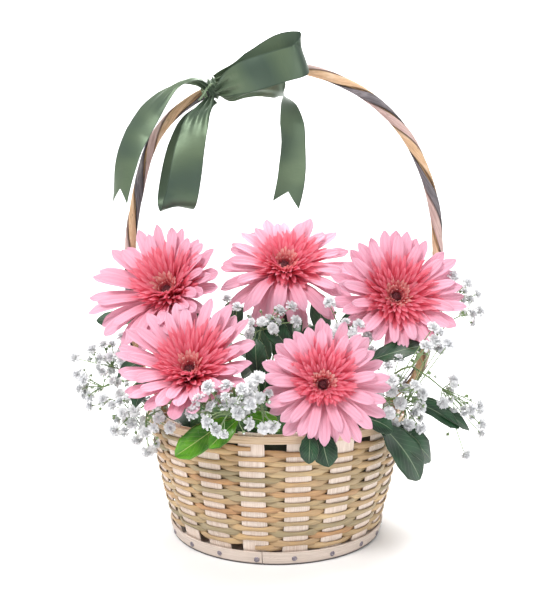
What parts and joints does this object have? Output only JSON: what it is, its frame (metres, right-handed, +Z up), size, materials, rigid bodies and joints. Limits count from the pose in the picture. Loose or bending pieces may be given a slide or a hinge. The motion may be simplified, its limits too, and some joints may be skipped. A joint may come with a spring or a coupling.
{
  "type": "flower basket arrangement",
  "caption": "Woven splint basket with a bark-wrapped hoop handle and green satin bow, filled with pink gerberas, white gypsophila and glossy leaves.",
  "frame": {"origin": "centre of the underside of the basket's foot, on the surface that it stands on", "axes": "+Z up; -Y towards the front of the arrangement, which the flowers face; +X to the right seen from the front"},
  "size_m": [0.3199, 0.2406, 0.3913],
  "materials": {
    "splint": "matt split wood with fine straight grain",
    "cane": "slightly glossy split cane, tan to olive",
    "rim_cane": "flat split cane, satin",
    "hoop_wood": "pale flat wood strip with small nail heads",
    "liner": "thin dark green plastic",
    "foam": "wet floral foam, fine open cells",
    "handle_cane": "cane core",
    "grey_bark": "grey-brown bark",
    "mauve_bark": "pinkish inner bark",
    "tan_bark": "pale tan split wood",
    "satin_ribbon": "sage green satin with a soft sheen",
    "tie_cord": "thin twisted cord",
    "ray_petal": "soft pale pink petal with fine grooves",
    "floret": "coral pink florets",
    "flower_eye": "dark maroon disc",
    "flower_stem": "fleshy green stem with fine hairs",
    "dark_leaf": "glossy dark green leaf",
    "bright_leaf": "glossy bright green leaf",
    "gypsophila": "white double blossoms on thin green stems"
  },
  "bodies": {
    "root": {"basket_stakes": "splint", "basket_weave": "cane", "basket_foot_hoop": "hoop_wood", "basket_rim_outer": "rim_cane", "basket_rim_inner": "rim_cane", "basket_liner": "liner", "handle_core": "handle_cane", "handle_strip_grey": "grey_bark", "handle_strip_mauve": "mauve_bark", "handle_strip_tan": "tan_bark", "handle_lashing_right": "mauve_bark", "handle_lashing_left": "mauve_bark", "bow_knot": "satin_ribbon", "bow_tie": "tie_cord", "bow_loop": "satin_ribbon", "bow_hanging_loop": "satin_ribbon", "bow_left_tail": "satin_ribbon", "bow_right_tail": "satin_ribbon", "gerbera_1_rays": "ray_petal", "gerbera_1_florets": "floret", "gerbera_1_eye": "flower_eye", "gerbera_2_rays": "ray_petal", "gerbera_2_florets": "floret", "gerbera_2_eye": "flower_eye", "gerbera_3_rays": "ray_petal", "gerbera_3_florets": "floret", "gerbera_3_eye": "flower_eye", "gerbera_4_rays": "ray_petal", "gerbera_4_florets": "floret", "gerbera_4_eye": "flower_eye", "gerbera_5_rays": "ray_petal", "gerbera_5_florets": "floret", "gerbera_5_eye": "flower_eye", "gerbera_1_stem": "flower_stem", "gerbera_2_stem": "flower_stem", "gerbera_3_stem": "flower_stem", "gerbera_4_stem": "flower_stem", "gerbera_5_stem": "flower_stem", "leaves_front_left": "bright_leaf", "leaves_front_low": "dark_leaf", "leaves_right_low": "dark_leaf", "leaves_right": "dark_leaf", "leaves_right_high": "dark_leaf", "leaves_centre_left": "dark_leaf", "leaves_centre": "dark_leaf", "leaves_left_high": "dark_leaf", "leaves_left": "dark_leaf", "leaves_back_left": "dark_leaf", "leaves_back_centre": "dark_leaf", "leaves_back_right": "dark_leaf", "gypsophila_left": "gypsophila", "gypsophila_left_low": "gypsophila", "gypsophila_front": "gypsophila", "gypsophila_right_front": "gypsophila", "gypsophila_right": "gypsophila", "gypsophila_centre": "gypsophila", "gypsophila_centre_right": "gypsophila", "gypsophila_back": "gypsophila", "floral_foam": "foam"}
  },
  "joints": []
}
